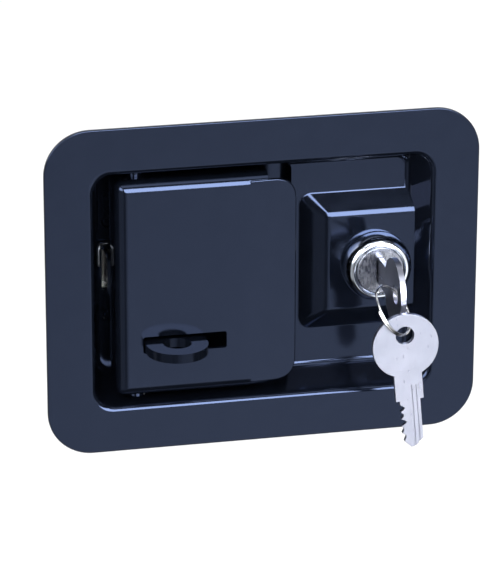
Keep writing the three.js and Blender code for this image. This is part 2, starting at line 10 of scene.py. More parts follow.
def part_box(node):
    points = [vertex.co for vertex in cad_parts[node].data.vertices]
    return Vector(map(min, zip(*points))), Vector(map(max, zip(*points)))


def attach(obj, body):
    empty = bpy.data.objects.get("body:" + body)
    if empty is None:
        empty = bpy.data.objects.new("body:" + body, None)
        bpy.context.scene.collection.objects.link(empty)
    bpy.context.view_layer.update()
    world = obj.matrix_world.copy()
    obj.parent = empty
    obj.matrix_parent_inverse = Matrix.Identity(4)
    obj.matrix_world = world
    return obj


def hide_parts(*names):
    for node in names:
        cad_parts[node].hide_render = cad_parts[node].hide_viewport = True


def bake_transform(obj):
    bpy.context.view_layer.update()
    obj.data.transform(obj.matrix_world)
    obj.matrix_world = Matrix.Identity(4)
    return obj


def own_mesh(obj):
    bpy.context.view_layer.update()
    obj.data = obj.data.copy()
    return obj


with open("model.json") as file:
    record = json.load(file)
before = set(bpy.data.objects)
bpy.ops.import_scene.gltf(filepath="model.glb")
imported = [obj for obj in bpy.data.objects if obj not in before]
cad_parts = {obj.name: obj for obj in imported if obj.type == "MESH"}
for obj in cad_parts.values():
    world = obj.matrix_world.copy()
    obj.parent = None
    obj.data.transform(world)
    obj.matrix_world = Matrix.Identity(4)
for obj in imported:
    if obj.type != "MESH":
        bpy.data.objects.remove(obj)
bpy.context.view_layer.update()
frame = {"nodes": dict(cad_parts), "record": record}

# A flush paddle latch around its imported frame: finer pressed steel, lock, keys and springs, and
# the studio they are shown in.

MM = 0.001

# ---- places and sizes, in millimetres, worked out from the frame ---------------------------
# Heights count from the middle of the flange; place_piece() moves each piece to the frame's own.

MID_Z = sum(corner.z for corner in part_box("pan")) / 2 / MM


def node_box(node):
    """The lowest and the highest corner of a CAD node."""
    return [(c.x / MM, c.y / MM, c.z / MM - MID_Z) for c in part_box(node)]


def joint_row(name):
    return next(row for row in frame["record"]["behaviour"]["joints"] if row["name"] == name)


def joint_point(name):
    x, y, z = joint_row(name)["pos_m"]
    return Vector((x / MM, y / MM, z / MM - MID_Z))


PAN_LOW, PAN_HIGH = node_box("pan")
FRONT = PAN_LOW[1]
SHEET = -FRONT
GAP = 0.3                    # between pieces that would touch
FLANGE_CORNER, FLANGE_EDGE = 14.5, 0.35

# The dish pressed into the flange: a shelf on the right, and a deeper well on the left.
DISH_X, DISH_Z, DISH_CORNER = 56.0, 40.5, 6.5
SHELF_FLOOR, WELL_FLOOR = 12.5, PAN_HIGH[1] - SHEET
WELL_EDGE = 12.0
MOUTH, RUN, FLOOR_BEND, CORNER_TIGHTER = 1.8, 3.6, 2.0, 3.0
TONGUE_SLOT = (-48.2, -35, -6.8, 6.8)

# The lock's raised seat, whose sides lean out by BOSS_SLOPE and whose right end meets the dish.
BOSS_FACE, BOSS_LEFT, BOSS_RIGHT, BOSS_HALF, BOSS_MIDDLE = 8.5, 22.3, 62, 16.9, 0.7
BOSS_SLOPE, BOSS_EDGE, BOSS_HEEL, BOSS_LEAN = 31, 4.5, 1.2, -0.6
BOSS_SIDE_LEAN, BOSS_SHEET = 1.27, 0.7

PADDLE_LOW, PADDLE_HIGH = node_box("paddle")
PADDLE_BEND, PADDLE_CORNER, CHANNEL_END, CHANNEL_DEPTH = 3.8, 2.9, 1.5, 12.0
LEG_LOW, LEG_HALF = 4.0, 6.0
LIP_HALF, LIP_CORNER, LIP_ROOT = 34.0, 7.5, 6
# Where across the paddle its lip bends in, and how steeply from each place on.
LIP_STATIONS = (-7.0, -5.0, -3.0, -1.0, CHANNEL_END, 14.0)
LIP_SLOPES = (0.012, 0.030, 0.050, 0.066, 0.072)
SLOT = (-39.0, -12.0, -21.3, -15.7)

PIN_LOW, PIN_HIGH = node_box("pivot_pin")
PIVOT = joint_point("paddle_lift")
PIN_RADIUS = 2.5
PIN_HEAD, PIN_SEAT = 4.0, 40.4

EYE_RADIUS, EYE_HOLE, EYE_THICK = 9.8, 4.5, 3.0

BOLT_SHOULDER, BOLT_RELIEF, BOLT_BEVEL = 8, 0.4, 6.5
BOLT_POCKET, POCKET_DEPTH, POCKET_HALF = (-48.8, -44.6), 26.8, 6.6
HOUSING_INNER = 9.4

LOCK = joint_point("key_turn")
BODY_LOW, BODY_HIGH = node_box("lock_body")
PLUG_LOW, PLUG_HIGH = node_box("lock_plug")
BEZEL, RIM, BARREL = BODY_HIGH[0] - LOCK.x, 8.4, 9.3
PLUG_FACE, PLUG_BODY, PLUG_SHOULDER, PLUG_HALF = 7.8, 6.4, 4.6, 3.8
PLUG_GROOVE = 7.0
KEYWAY_HALF, KEYWAY_REACH, KEYWAY_END = 1.25, 3.7, 18.9
SCREW_HOLE, SCREW_HOLE_START = 2.2, 21.4
NUT_REACH, NUT_ROUND = 12, 14.1

# A key's length counts from the middle of its bow.
KEY_BOW, KEY_HOLE, HOLE_OFFSET = 10.6, 3.0, 3.6
KEY_SHANK, KEY_SHOULDER, KEY_BLADE, KEY_TIP, KEY_THICK = 4.5, 18.4, 3.35, 34.4, 1.8
KEY_CUTS, CUT_SPACING = (1.3, 0.7, 1.7, 1.0, 1.4), 2.4
KEY_STEP, STEP_DEPTH, GROOVE_DEPTH = 8.2, 0.14, 0.36
SPARE_TILT = 5.4
RING_WIRE, RING_SPREAD, RING_CROSSING = 0.34, 0.35, 0.5

HOUSING_RIVETS = [(-46, -16), (-46, 16), (-8, -16), (-8, 16)]
EYE_RIVETS = [(-33.3, -26), (-24.3, -26)]
TAIL_RIVETS = [(-38.2, -3.2), (-38.2, 3.2)]
RIVET, TAIL_RIVET = 1.7, 1.5

# The camera, in metres.
CAMERA_PLACE = (-0.2292, -1.0135, 0.3405)
CAMERA_RIGHT, CAMERA_BACK = (0.9764, -0.2158, 0.0025), (-0.2030, -0.9143, 0.3504)
CAMERA_SENSOR, CAMERA_LENS = 36, 224.2


# ---- materials -----------------------------------------------------------------------------


class Nodes:
    """A material's node tree, with short ways to add what it is made of."""

    def __init__(self, name, **values):
        self.material = bpy.data.materials.new(name)
        self.material.use_nodes = True
        self.tree = self.material.node_tree
        self.shader = self.tree.nodes["Principled BSDF"]
        for socket, value in values.items():
            self.shader.inputs[socket.replace("_", " ")].default_value = value

    def add(self, kind, **settings):
        node = self.tree.nodes.new(kind)
        for key, value in settings.items():
            if key in node.inputs:
                node.inputs[key].default_value = value
            else:
                setattr(node, key, value)
        return node

    def link(self, source, target):
        self.tree.links.new(source, target)

    def noise(self, scale, detail=3.0, stretch=(1, 1, 1)):
        """Noise over the piece's own coordinates, in features per metre."""
        place = self.add("ShaderNodeTexCoord")
        mapping = self.add("ShaderNodeMapping", Scale=stretch)
        noise = self.add("ShaderNodeTexNoise", Scale=scale, Detail=detail, Roughness=0.55)
        self.link(place.outputs["Object"], mapping.inputs["Vector"])
        self.link(mapping.outputs["Vector"], noise.inputs["Vector"])
        return noise.outputs["Fac"]

    def ramp(self, source, low, high, at=(0.3, 0.7)):
        """Runs from low to high as source goes between the two places in `at`."""
        ramp = self.add("ShaderNodeValToRGB")
        for element, where, colour in zip(ramp.color_ramp.elements, at, (low, high)):
            element.position = where
            element.color = (*colour, 1) if isinstance(colour, tuple) else (colour,) * 3 + (1,)
        self.link(source, ramp.inputs["Fac"])
        return ramp.outputs["Color"]

    def bump(self, source, depth):
        """A bump of that depth in millimetres."""
        bump = self.add("ShaderNodeBump", Strength=1.0, Distance=depth * MM)
        self.link(source, bump.inputs["Height"])
        return bump.outputs["Normal"]

    def finish(self, normal, **sockets):
        for socket, source in sockets.items():
            self.link(source, self.shader.inputs[socket.replace("_", " ")])
        self.link(normal, self.shader.inputs["Normal"])
        return self.material


def black_coat(name="black_coat", gloss=0.5):
    """Glossy black powder coat with a blue shine and a faint orange peel."""
    nodes = Nodes(name, Metallic=0.0, IOR=1.5, Specular_Tint=(0.42, 0.56, 1.0, 1))
    nodes.shader.inputs["Specular IOR Level"].default_value = gloss
    flow = nodes.noise(160, 2)
    peel = nodes.noise(1500, 2)
    colour = nodes.ramp(flow, (0.0030, 0.0042, 0.0078), (0.0040, 0.0054, 0.0098))
    rough = nodes.ramp(flow, 0.09, 0.13)
    normal = nodes.bump(peel, 0.0012)
    return nodes.finish(normal, Base_Color=colour, Roughness=rough)


def chrome():
    """Bright plate, faintly smudged, with hairlines along Z."""
    nodes = Nodes("chrome", Metallic=1.0)
    smudge = nodes.noise(240, 4)
    hairline = nodes.noise(2600, 2, (1, 1, 0.08))
    colour = nodes.ramp(smudge, (0.62, 0.68, 0.78), (0.72, 0.77, 0.85))
    rough = nodes.ramp(smudge, 0.08, 0.16)
    normal = nodes.bump(hairline, 0.0008)
    return nodes.finish(normal, Base_Color=colour, Roughness=rough)


def satin_chrome():
    """The plug's face: the same plate over a matt, finely scratched ground."""
    nodes = Nodes("satin_chrome", Metallic=1.0)
    cloud = nodes.noise(420, 5)
    scratches = nodes.noise(1700, 3, (1, 1, 0.3))
    colour = nodes.ramp(cloud, (0.17, 0.185, 0.225), (0.32, 0.335, 0.385), (0.35, 0.65))
    rough = nodes.ramp(scratches, 0.22, 0.36)
    normal = nodes.bump(scratches, 0.002)
    return nodes.finish(normal, Base_Color=colour, Roughness=rough)


def brushed(name, dark, light, rough, grain, stretch, depth=0.003):
    """Metal with a directional grain and slow changes of tone."""
    nodes = Nodes(name, Metallic=1.0)
    cloud = nodes.noise(110, 3)
    lines = nodes.noise(grain, 3, stretch)
    colour = nodes.ramp(cloud, dark, light)
    shine = nodes.ramp(lines, rough - 0.07, rough + 0.08)
    normal = nodes.bump(lines, depth)
    return nodes.finish(normal, Base_Color=colour, Roughness=shine)


def zinc_plate():
    """Clear zinc: small soft spangles, a slightly blue and yellow cast, and a satin surface."""
    nodes = Nodes("zinc", Metallic=1.0)
    place = nodes.add("ShaderNodeTexCoord")
    cells = nodes.add("ShaderNodeTexVoronoi", Scale=420.0)
    nodes.link(place.outputs["Object"], cells.inputs["Vector"])
    cast = nodes.noise(70, 3)
    colour = nodes.ramp(cast, (0.52, 0.55, 0.60), (0.66, 0.65, 0.60))
    rough = nodes.ramp(cells.outputs["Distance"], 0.28, 0.42, (0.0, 0.9))
    normal = nodes.bump(cells.outputs["Distance"], 0.004)
    return nodes.finish(normal, Base_Color=colour, Roughness=rough)


SLOTS = {
    "black_coat": black_coat(),
    "chrome": chrome(),
    "key_metal": brushed(
        "key_metal", (0.33, 0.35, 0.43), (0.38, 0.395, 0.48), 0.34, 1500, (1, 1, 0.2), 0.0006
    ),
    "ring_steel": brushed(
        "ring_steel", (0.70, 0.71, 0.73), (0.80, 0.81, 0.82), 0.16, 1800, (1, 1, 1), 0.001
    ),
    "spring_steel": brushed(
        "spring_steel", (0.09, 0.10, 0.12), (0.15, 0.16, 0.18), 0.38, 1500, (1, 1, 1)
    ),
    "zinc": zinc_plate(),
    "brass": brushed("brass", (0.58, 0.42, 0.17), (0.68, 0.52, 0.24), 0.28, 1600, (0.15, 1, 1)),
}
NODE_SLOT = {row["node"]: row["material_slot"] for row in frame["record"]["subparts"]}
BODY_OF = {
    node: body for body, nodes in frame["record"]["behaviour"]["bodies"].items() for node in nodes
}


# ---- mesh helpers --------------------------------------------------------------------------


def placed(name, data):
    """A new object of that data, in the scene."""
    obj = bpy.data.objects.new(name, data)
    bpy.context.scene.collection.objects.link(obj)
    return obj


def mesh_object(name, verts, faces):
    mesh = bpy.data.meshes.new(name)
    mesh.from_pydata([tuple(Vector(v) * MM) for v in verts], [], faces)
    return tidied(placed(name, mesh))


def tidied(obj):
    """Welds vertices that coincide, drops what has no area and points the faces outwards."""
    weld = 0.0005 * MM
    grid = bmesh.new()
    grid.from_mesh(obj.data)
    bmesh.ops.remove_doubles(grid, verts=grid.verts, dist=weld)
    bmesh.ops.dissolve_degenerate(grid, edges=grid.edges, dist=weld)
    loose = [edge for edge in grid.edges if not edge.link_faces]
    bmesh.ops.delete(grid, geom=loose, context="EDGES")
    bmesh.ops.recalc_face_normals(grid, faces=grid.faces)
    grid.to_mesh(obj.data)
    grid.free()
    return obj


def baked(obj):
    """The object as a plain mesh, with its modifiers applied."""
    bpy.context.view_layer.update()
    mesh = bpy.data.meshes.new_from_object(
        obj.evaluated_get(bpy.context.evaluated_depsgraph_get())
    )
    name = obj.name
    bpy.data.objects.remove(obj)
    return placed(name, mesh)


def combined(obj, operation, others):
    """obj after a boolean with each of the others, which are used up."""
    for other in others:
        modifier = obj.modifiers.new("boolean", "BOOLEAN")
        modifier.operation = operation
        modifier.solver = "EXACT"
        modifier.object = other
        obj = baked(obj)
        bpy.data.objects.remove(other)
    return obj


def cut(obj, *others):
    return combined(obj, "DIFFERENCE", others)


def joined(obj, *others):
    return combined(obj, "UNION", others)


def add_bevel(obj, width, segments, angle):
    modifier = obj.modifiers.new("edge", "BEVEL")
    modifier.width = width * MM
    modifier.segments = segments
    modifier.limit_method = "ANGLE"
    modifier.angle_limit = math.radians(angle)


def edged(obj, width, segments=3, angle=38):
    """Rounds every edge sharper than the angle."""
    add_bevel(obj, width, segments, angle)
    return baked(obj)


def arc(cx, cy, radius, start, end, steps):
    """Points along an arc from one angle to another, in degrees."""
    angles = [math.radians(start + (end - start) * i / steps) for i in range(steps + 1)]
    return [(cx + radius * math.cos(a), cy + radius * math.sin(a)) for a in angles]


def circle(cx, cy, radius, steps=48):
    return arc(cx, cy, radius, 0, 360, steps)[:-1]


def rectangle(x0, x1, y0, y1, radius=0.0, steps=10):
    """A rectangle's outline, with its corners rounded if there is a radius."""
    if radius == 0:
        return [(x1, y1), (x0, y1), (x0, y0), (x1, y0)]
    points = []
    for cx, cy, start in (
        (x1 - radius, y1 - radius, 0),
        (x0 + radius, y1 - radius, 90),
        (x0 + radius, y0 + radius, 180),
        (x1 - radius, y0 + radius, 270),
    ):
        points += arc(cx, cy, radius, start, start + 90, steps)
    return points


def softened(points, radii, steps=6):
    """A closed outline with its corners rounded, each by its own radius."""
    result = []
    count = len(points)
    for i, (corner, radius) in enumerate(zip(points, radii)):
        c = np.array(corner, float)
        p, q = np.array(points[i - 1], float), np.array(points[(i + 1) % count], float)
        to_p, to_q = (p - c) / np.linalg.norm(p - c), (q - c) / np.linalg.norm(q - c)
        half = math.acos(max(-1.0, min(1.0, float(to_p @ to_q)))) / 2
        reach = min(radius / math.tan(half), np.linalg.norm(p - c) / 2, np.linalg.norm(q - c) / 2)
        for t in np.linspace(0, 1, steps + 1) if radius else [0]:
            start, end = c + to_p * reach, c + to_q * reach
            point = (1 - t) ** 2 * start + 2 * t * (1 - t) * c + t**2 * end
            result.append(tuple(point) if radius else corner)
    return result


def prism(name, outline, axis, low, high):
    """An outline made solid from low to high along an axis; its two coordinates are the others."""
    place = {
        "x": lambda u, v, w: (w, u, v),
        "y": lambda u, v, w: (u, w, v),
        "z": lambda u, v, w: (u, v, w),
    }[axis]
    count = len(outline)
    verts = [place(u, v, low) for u, v in outline] + [place(u, v, high) for u, v in outline]
    sides = [(i, (i + 1) % count, count + (i + 1) % count, count + i) for i in range(count)]
    caps = [tuple(range(count))[::-1], tuple(range(count, 2 * count))]
    return mesh_object(name, verts, sides + caps)


def block(x0, x1, y0, y1, z0, z1):
    return prism("block", rectangle(x0, x1, z0, z1), "y", y0, y1)


def loft(name, rings, steps=14):
    """Rounded rectangles (y, x0, x1, z0, z1, radius) skinned one after the other."""
    verts, faces = [], []
    for y, x0, x1, z0, z1, radius in rings:
        verts += [(x, y, z) for x, z in rectangle(x0, x1, z0, z1, radius, steps)]
    count = 4 * (steps + 1)
    for ring in range(len(rings) - 1):
        for i in range(count):
            a, b = ring * count + i, ring * count + (i + 1) % count
            faces.append((a, b, b + count, a + count))
    last = (len(rings) - 1) * count
    faces += [tuple(range(count))[::-1], tuple(range(last, last + count))]
    return mesh_object(name, verts, faces)


def turned(name, profile, centre, axis="y", segments=96):
    """A closed profile of (radius, height) turned about an axis through centre."""
    verts, faces = [], []
    count = len(profile)
    for step in range(segments):
        angle = 2 * math.pi * step / segments
        for radius, height in profile:
            u = centre[0] + radius * math.cos(angle)
            v = centre[1] + radius * math.sin(angle)
            verts.append((u, height, v) if axis == "y" else (u, v, height))
    for step in range(segments):
        a, b = step * count, (step + 1) % segments * count
        faces += [(a + i, a + (i + 1) % count, b + (i + 1) % count, b + i) for i in range(count)]
    return mesh_object(name, verts, faces)


def wire(name, points, radius, sides=14):
    """A round wire with domed ends along a line of points."""
    line = [Vector(p) for p in points]
    tangents = [
        (line[min(i + 1, len(line) - 1)] - line[max(i - 1, 0)]).normalized()
        for i in range(len(line))
    ]
    side = tangents[0].orthogonal().normalized()
    sections = []
    for place, tangent in zip(line, tangents):
        # The side is carried along the line, so the wire doesn't twist.
        side = (side - tangent * side.dot(tangent)).normalized()
        sections.append((place, tangent, side.copy(), radius))
    for end, sign in ((0, -1), (-1, 1)):
        place, tangent, across, _ = sections[end]
        dome = [
            (place + tangent * sign * radius * math.sin(a), tangent, across, radius * math.cos(a))
            for a in (0.5, 0.95, 1.3, 1.55)
        ]
        sections = dome[::-1] + sections if end == 0 else sections + dome
    verts, faces = [], []
    for place, tangent, across, size in sections:
        up = tangent.cross(across)
        for i in range(sides):
            angle = 2 * math.pi * i / sides
            verts.append(place + (across * math.cos(angle) + up * math.sin(angle)) * size)
    for ring in range(len(sections) - 1):
        for i in range(sides):
            a, b = ring * sides + i, ring * sides + (i + 1) % sides
            faces.append((a, b, b + sides, a + sides))
    last = (len(sections) - 1) * sides
    faces += [tuple(range(sides))[::-1], tuple(range(last, last + sides))]
    return mesh_object(name, verts, faces)


def place_piece(obj, node, angle=35, finish=None):
    """Gives a finished piece its node's finish and hides the node."""
    obj.data.transform(Matrix.Translation((0, 0, MID_Z * MM)))
    obj.name = f"{node}_fine"
    obj.data.name = obj.name
    obj.data.materials.clear()
    obj.data.materials.append(finish or SLOTS[NODE_SLOT[node]])
    obj.data.polygons.foreach_set("use_smooth", [True] * len(obj.data.polygons))
    obj.data.set_sharp_from_angle(angle=math.radians(angle))
    even = obj.modifiers.new("even_normals", "WEIGHTED_NORMAL")
    even.keep_sharp = True
    even.weight = 80
    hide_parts(node)
    return obj


def riding(obj, node, **options):
    """A piece that moves with its node's body; the options are place_piece()'s."""
    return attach(place_piece(obj, node, **options), BODY_OF[node])


# ---- pan -----------------------------------------------------------------------------------

QUARTER_TURN = [i / 9 * math.pi / 2 for i in range(10)]


def wall_inset(y, floor):
    """How far the dish's wall has leaned in at depth y."""
    start = FRONT + MOUTH
    return MOUTH + RUN * (y - start) / (floor - start)


def dish(floor, right, offset):
    """The dish's inside, or its outside when the sheet's thickness is the offset."""
    rings = []

    def ring(y, inset):
        x1 = DISH_X - inset if right is None else right
        size = DISH_Z - inset + offset
        x0 = -DISH_X + inset - offset
        corner = DISH_CORNER + offset - CORNER_TIGHTER * (y - FRONT) / (floor - FRONT)
        rings.append((y, x0, x1 + offset, -size, size, corner))

    if offset == 0:
        ring(FRONT - 1, 0)
        for angle in QUARTER_TURN:
            ring(FRONT + MOUTH * (1 - math.cos(angle)), MOUTH * math.sin(angle))
    else:
        ring(FRONT + SHEET / 2, MOUTH)
        ring(FRONT + MOUTH, MOUTH)
    bottom, bend = floor + offset, FLOOR_BEND + offset
    for angle in QUARTER_TURN:
        y = bottom - bend * (1 - math.sin(angle))
        ring(y, wall_inset(min(y, floor), floor) + bend * (1 - math.cos(angle)) * 0.8)
    return loft("dish", rings)


def boss(offset):
    """The raised seat of the lock, or the hollow behind it."""
    face, foot = BOSS_FACE + offset, SHELF_FLOOR + offset
    slope = math.radians(BOSS_SLOPE)
    meets = BOSS_LEAN + (foot - face) / math.tan(slope)
    # Depth, and how far the upper and lower sides lean out there.
    profile = []
    for i in range(8):
        turn = slope * i / 7
        out = BOSS_EDGE * (math.sin(turn) - math.tan(slope / 2))
        profile.append((face + BOSS_EDGE * (1 - math.cos(turn)), BOSS_LEAN + out))
    for i in range(6):
        turn = slope * (1 - i / 5)
        out = BOSS_HEEL * (math.tan(slope / 2) - math.sin(turn))
        profile.append((foot - BOSS_HEEL * (1 - math.cos(turn)), meets + out))
    profile.append((foot + 3, meets + 3))
    rings = []
    for y, upward in profile:
        corner = 1.4 + 0.42 * upward
        half = BOSS_HALF - offset * BOSS_SHEET + upward
        sideways = upward * (BOSS_SIDE_LEAN if upward > 0 else 1)
        left = BOSS_LEFT + offset * BOSS_SHEET - sideways
        rings.append((y, left, BOSS_RIGHT, BOSS_MIDDLE - half, BOSS_MIDDLE + half, corner))
    return loft("boss", rings)


def make_pan():
    x, z = PAN_HIGH[0], PAN_HIGH[2]
    flange = prism("flange", rectangle(-x, x, -z, z, FLANGE_CORNER, 20), "y", FRONT, 0)
    flange = edged(flange, FLANGE_EDGE)
    inside = joined(dish(SHELF_FLOOR, None, 0), dish(WELL_FLOOR, WELL_EDGE, 0))
    inside = cut(inside, boss(0))
    hollow_low, hollow_high = BOSS_MIDDLE + 1 - BOSS_HALF, BOSS_MIDDLE + BOSS_HALF - 1
    outside = cut(
        dish(SHELF_FLOOR, None, SHEET),
        boss(SHEET),
        block(BOSS_LEFT, BOSS_RIGHT, BOSS_FACE + SHEET, 40, hollow_low, hollow_high),
    )
    pan = joined(flange, joined(outside, dish(WELL_FLOOR, WELL_EDGE, SHEET)))
    slot_left, slot_right, slot_low, slot_high = TONGUE_SLOT
    pan = cut(
        pan,
        inside,
        prism("lock_hole", circle(LOCK.x, LOCK.z, BARREL + 0.4, 72), "y", 6, 13),
        prism("pin_hole", circle(PIVOT.x, PIVOT.y, PIN_RADIUS + GAP), "z", -46, 46),
        block(slot_left, slot_right, WELL_FLOOR - 2, WELL_FLOOR + 4, slot_low, slot_high),
    )
    for x, z in HOUSING_RIVETS + EYE_RIVETS:
        hole = prism("rivet_hole", circle(x, z, RIVET + GAP, 32), "y", 18, 25)
        pan = cut(pan, hole)
    return riding(pan, "pan", angle=30)


# ---- paddle --------------------------------------------------------------------------------


def paddle_shell(left, half, front, bend, corner, rear):
    """A block whose front is rounded along its left, upper and lower edges."""
    rings = []
    for angle in QUARTER_TURN:
        inset = bend * (1 - math.sin(angle))
        y = front + bend * (1 - math.cos(angle))
        size = half - inset
        rings.append((y, left + inset, 30, -size, size, max(corner - inset, 0.3)))
    rings.append((rear, left, 30, -half, half, corner))
    return loft("shell", rings)


def dipped(obj):
    """The paddle with its free lip bent a few degrees into the recess."""
    depths = [0.0]
    for start, end, slope in zip(LIP_STATIONS, LIP_STATIONS[1:], LIP_SLOPES):
        depths.append(depths[-1] + (end - start) * slope)
    grid = bmesh.new()
    grid.from_mesh(obj.data)
    for x in LIP_STATIONS[:-1]:
        parts = grid.verts[:] + grid.edges[:] + grid.faces[:]
        bmesh.ops.bisect_plane(grid, geom=parts, plane_co=(x * MM, 0, 0), plane_no=(1, 0, 0))
    for vert in grid.verts:
        vert.co.y += float(np.interp(vert.co.x / MM, LIP_STATIONS, depths)) * MM
    grid.to_mesh(obj.data)
    grid.free()
    return obj


def make_paddle():
    left, front, right = PADDLE_LOW[0], PADDLE_LOW[1], PADDLE_HIGH[0]
    half, rear, tip = PADDLE_HIGH[2], PADDLE_LOW[1] + CHANNEL_DEPTH, PADDLE_HIGH[1]
    outer = paddle_shell(left, half, front, PADDLE_BEND, PADDLE_CORNER, rear)
    inner = paddle_shell(
        left + SHEET,
        half - SHEET,
        front + SHEET,
        PADDLE_BEND - SHEET,
        PADDLE_CORNER - SHEET,
        rear + 1,
    )
    paddle = cut(outer, inner, block(CHANNEL_END, 40, front - 2, rear + 2, -half - 2, half + 2))
    root = CHANNEL_END - LIP_ROOT
    lip_outline = [(root, -LIP_HALF), (right, -LIP_HALF), (right, LIP_HALF), (root, LIP_HALF)]
    lip_outline = softened(lip_outline, [0, LIP_CORNER, LIP_CORNER, 0], 14)
    lip = edged(prism("lip", lip_outline, "y", front, front + SHEET), 0.45)
    tongue = [(left, -LEG_HALF), (left, LEG_HALF)]
    tongue += [(left + SHEET, LEG_HALF), (left + SHEET, -LEG_HALF)]
    tongue = prism("tongue", tongue, "y", front + LEG_LOW, tip)
    paddle = joined(paddle, lip, edged(tongue, 0.3))
    paddle = cut(
        paddle,
        prism("slot", rectangle(*SLOT, 0.8, 5), "y", front - 1, front + 3),
        prism("pin_hole", circle(PIVOT.x, PIVOT.y, PIN_RADIUS + 0.1), "z", -40, 40),
    )
    return riding(dipped(paddle), "paddle", angle=30)


# ---- padlock eye, rivets and pivot pin -------------------------------------------------------


def make_eye():
    low, high = node_box("padlock_eye")
    rear, beside_pin = high[1], PIVOT.x + PIN_RADIUS + 0.8
    x, y = high[0] - EYE_RADIUS, low[1] + EYE_RADIUS
    outline = [(x + EYE_RADIUS, rear)] + arc(x, y, EYE_RADIUS, 0, -180, 40)
    outline += [(x - EYE_RADIUS, 0.0), (beside_pin, 2.0), (beside_pin, rear)]
    plate = prism("eye", outline, "z", high[2] - EYE_THICK, high[2])
    plate = cut(plate, prism("hole", circle(x, y, EYE_HOLE, 64), "z", high[2] - 9, high[2] + 5))
    flat = rectangle(beside_pin, high[0], low[2], high[2], 2.5, 8)
    foot = prism("foot", flat, "y", rear - 3, rear)
    eye = joined(plate, foot)
    for rx, rz in EYE_RIVETS:
        eye = cut(eye, prism("rivet_hole", circle(rx, rz, RIVET + GAP, 32), "y", 10, 30))
    return riding(edged(eye, 0.6, 5, 40), "padlock_eye", finish=black_coat("eye_coat", 0.2))


def make_rivet(node, x, z, start, end, side):
    """A rivet along Y whose domed head stands on the start or the end side."""
    base, other = (end, start) if side > 0 else (start, end)
    head = RIVET * 1.9
    profile = [(0, other), (RIVET - 0.25, other), (RIVET, other + side * 0.25), (RIVET, base)]
    profile += [(head - 0.15, base), (head, base + side * 0.1)]
    for t in range(1, 10):
        angle = t / 9 * math.pi / 2
        profile.append((head * math.cos(angle), base + side * (0.1 + 1.38 * math.sin(angle))))
    profile[-1] = (0, profile[-1][1])
    return riding(turned("rivet", profile, (x, z), segments=40), node)


def make_pivot():
    foot, end = PIN_LOW[2], PIN_HIGH[2]
    clip_low, clip_high = node_box("pivot_pin_clip")
    neck_low, neck_high = clip_low[2] - 0.2, clip_high[2] + 0.2
    profile = [(0, foot), (PIN_RADIUS - 0.5, foot), (PIN_RADIUS, foot + 0.5)]
    profile += [(PIN_RADIUS, neck_low), (PIN_RADIUS - 0.7, neck_low)]
    profile += [(PIN_RADIUS - 0.7, neck_high), (PIN_RADIUS, neck_high), (PIN_RADIUS, PIN_SEAT)]
    profile += [(PIN_HEAD - 0.15, PIN_SEAT), (PIN_HEAD, PIN_SEAT + 0.15)]
    profile += [(PIN_HEAD, end - 0.5), (PIN_HEAD - 0.5, end), (0, end)]
    riding(turned("pin", profile, PIVOT, "z", 56), "pivot_pin")

    outer, grip, relief = 4.5, PIN_RADIUS - 0.45, 3.2
    outline = arc(PIVOT.x, PIVOT.y, outer, -68, 248, 60)
    inner_arcs = (
        (240, 215, grip), (208, 150, relief), (143, 37, grip), (30, -28, relief), (-35, -60, grip)
    )
    for start, end, radius in inner_arcs:
        outline += arc(PIVOT.x, PIVOT.y, radius, start, end, 10)
    clip = prism("clip", outline, "z", clip_low[2], clip_high[2])
    riding(edged(clip, 0.12, 2), "pivot_pin_clip")


# ---- bolt, tail and housing ------------------------------------------------------------------


def make_bolt():
    low, high = node_box("bolt")
    nose, back, front, rear, half = low[0], high[0], low[1], high[1], high[2]
    shoulder, lowered = nose + BOLT_SHOULDER, front + BOLT_RELIEF
    outline = [(nose, front), (shoulder, front), (shoulder, lowered), (back, lowered)]
    outline += [(back, rear), (nose + BOLT_BEVEL, rear), (nose, front + 2.5)]
    outline = softened(outline, [0.5, 0, 0, 0.5, 0.5, 1.2, 0.8])
    tail_low, tail_high = node_box("bolt_tail")
    room = tail_high[2] + GAP
    bolt = cut(
        prism("bolt", outline, "z", -half, half),
        block(*BOLT_POCKET, front - 1, POCKET_DEPTH, -POCKET_HALF, POCKET_HALF),
        block(tail_low[0] - GAP, back + 1, front - 1, tail_high[1] + GAP, -room, room),
    )
    for x, z in TAIL_RIVETS:
        hole = prism("rivet_hole", circle(x, z, TAIL_RIVET + GAP, 32), "y", front, rear + 1)
        bolt = cut(bolt, hole)
    riding(edged(bolt, 0.3, 3, 40), "bolt")

    outline = rectangle(tail_low[0], tail_high[0], -tail_high[2], tail_high[2], 1.5)
    tail = prism("tail", outline, "y", tail_low[1], tail_high[1])
    for index, (x, z) in enumerate(TAIL_RIVETS, 1):
        tail = cut(tail, prism("rivet_hole", circle(x, z, TAIL_RIVET + GAP, 32), "y", 20, 30))
        (_, start, _), (_, end, _) = node_box(f"tail_rivet_{index}")
        profile = [(0, start), (TAIL_RIVET - 0.2, start), (TAIL_RIVET, start + 0.2)]
        profile += [(TAIL_RIVET, end - 0.25), (TAIL_RIVET - 0.3, end), (0, end)]
        riding(turned("rivet", profile, (x, z), segments=36), f"tail_rivet_{index}")
    riding(edged(tail, 0.25, 3, 40), "bolt_tail")


